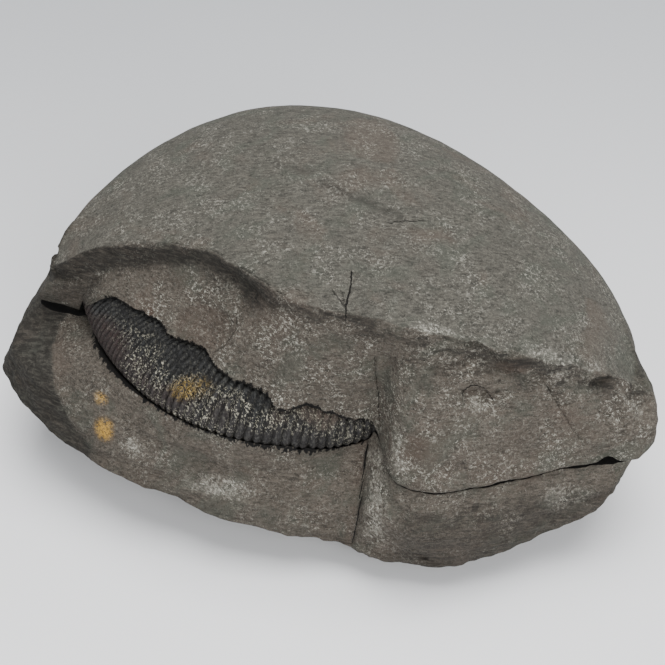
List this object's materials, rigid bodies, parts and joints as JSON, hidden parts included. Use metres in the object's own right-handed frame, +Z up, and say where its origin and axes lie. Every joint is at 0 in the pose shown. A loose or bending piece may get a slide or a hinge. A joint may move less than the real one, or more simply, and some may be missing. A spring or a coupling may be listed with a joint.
{
  "type": "split ammonite nodule",
  "caption": "Rounded grey-brown stone nodule split in two along a level crack, its broken front showing the ribbed outer whorl of a dark coiled ammonite.",
  "frame": {"origin": "centre of the stone's bounding box at floor level, on the flat it rests on", "axes": "+Z up, +X to the right and -Y towards the viewer looking at the broken front with the ammonite"},
  "size_m": [0.1336, 0.1004, 0.0579],
  "materials": {
    "crown_stone": null,
    "base_stone": null,
    "shell_stone": null
  },
  "bodies": {
    "root": {"upper_half": "crown_stone", "lower_half": "base_stone", "ammonite": "shell_stone"}
  },
  "joints": []
}
